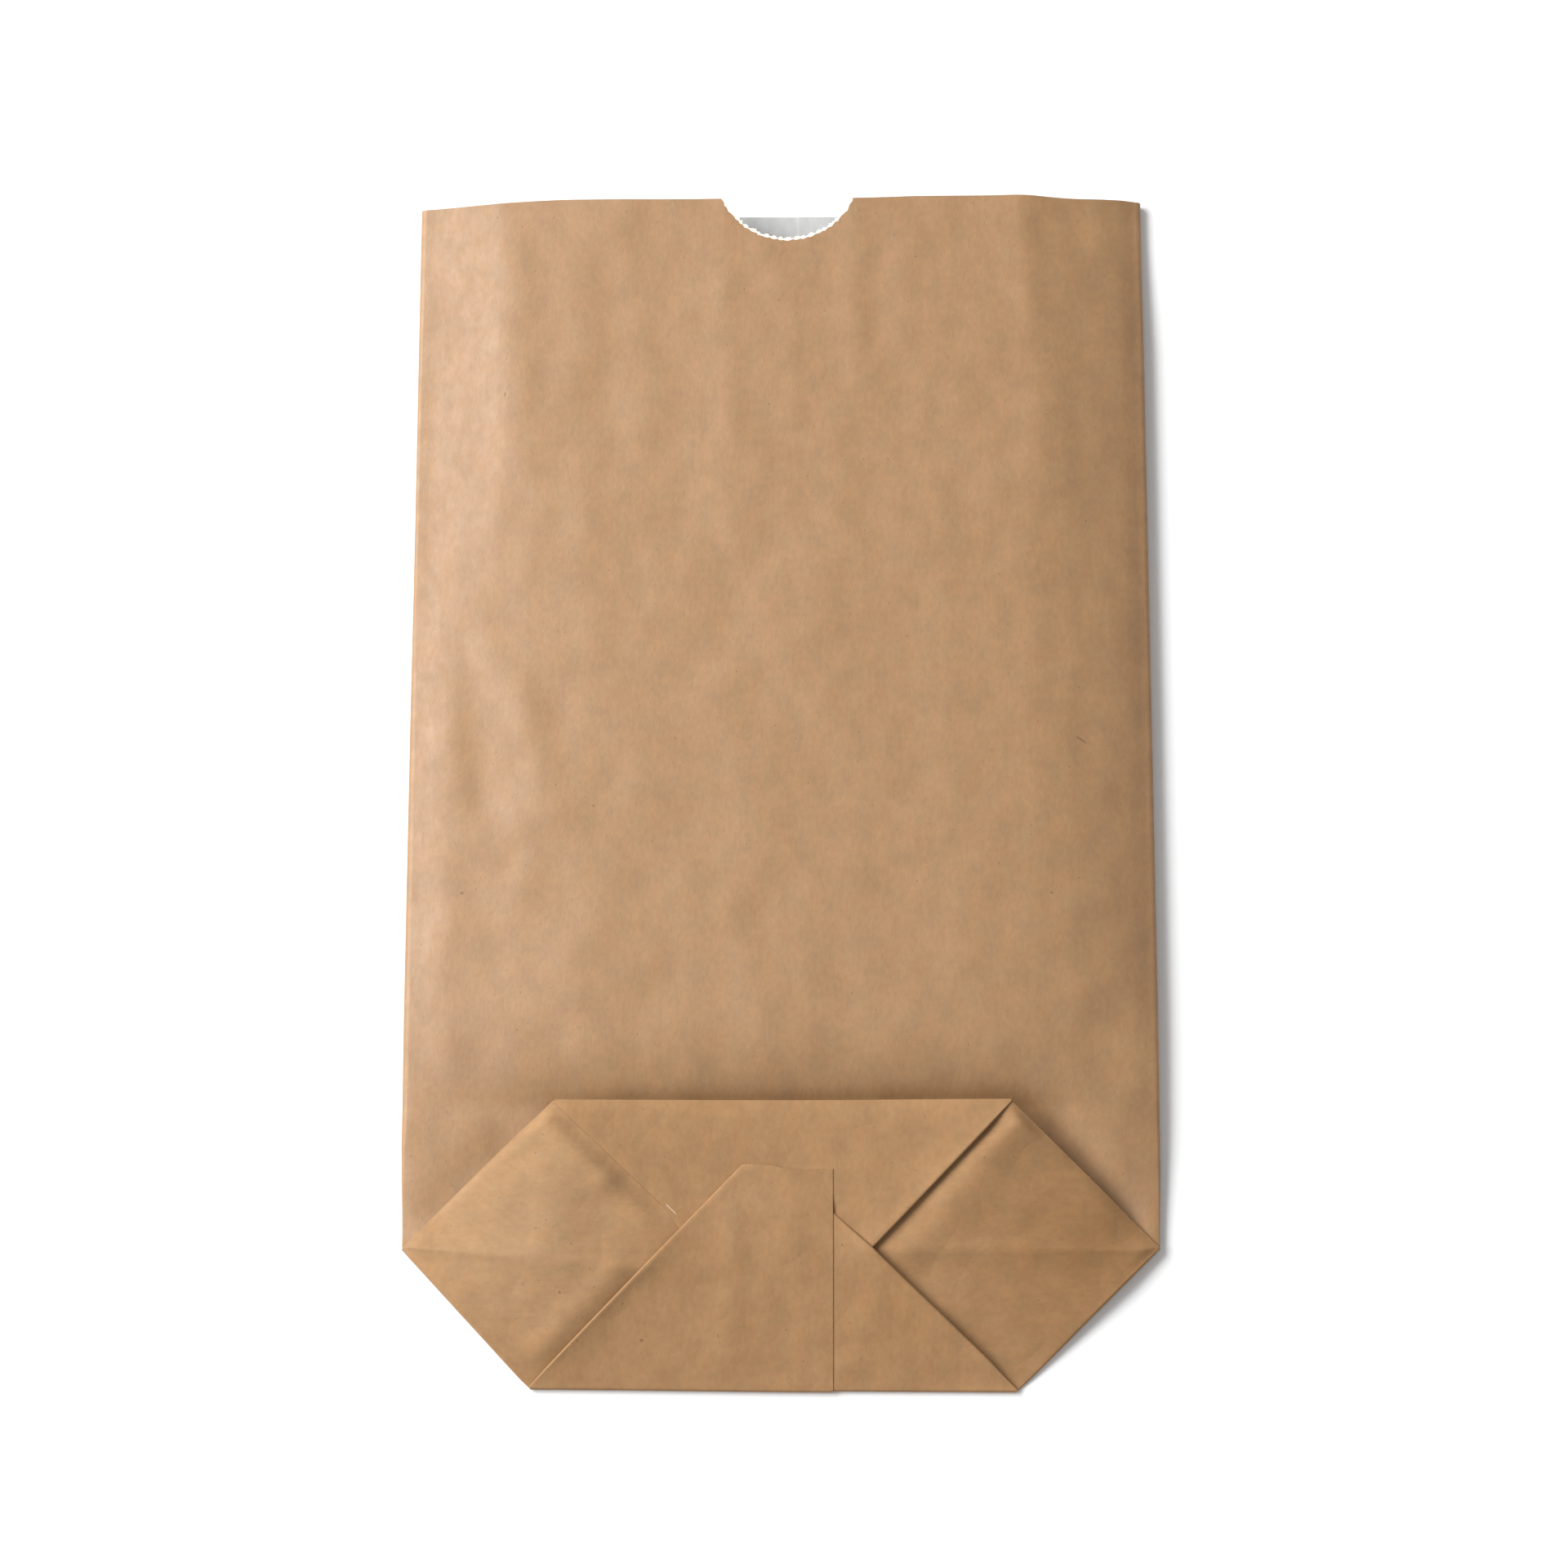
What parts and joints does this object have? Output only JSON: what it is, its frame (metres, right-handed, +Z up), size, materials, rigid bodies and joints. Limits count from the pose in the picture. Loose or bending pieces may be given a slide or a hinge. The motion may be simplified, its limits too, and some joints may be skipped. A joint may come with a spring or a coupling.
{
  "type": "paper lunch bag",
  "caption": "Small flat paper bag with a folded and glued cross bottom and a half-round thumb notch in the front of its mouth, for carrying food or small goods.",
  "frame": {"origin": "middle of the footprint, on the surface that the bag lies on", "axes": "+X across the bag, +Y along it towards the mouth, +Z up out of the front wall"},
  "size_m": [0.16, 0.26, 0.0089],
  "materials": {
    "kraft_paper": "smooth unbleached kraft paper with a faint machine-direction grain and mottling outside, plain white inside and at the cut edges"
  },
  "bodies": {
    "root": {"paper_bag": "kraft_paper"}
  },
  "joints": []
}
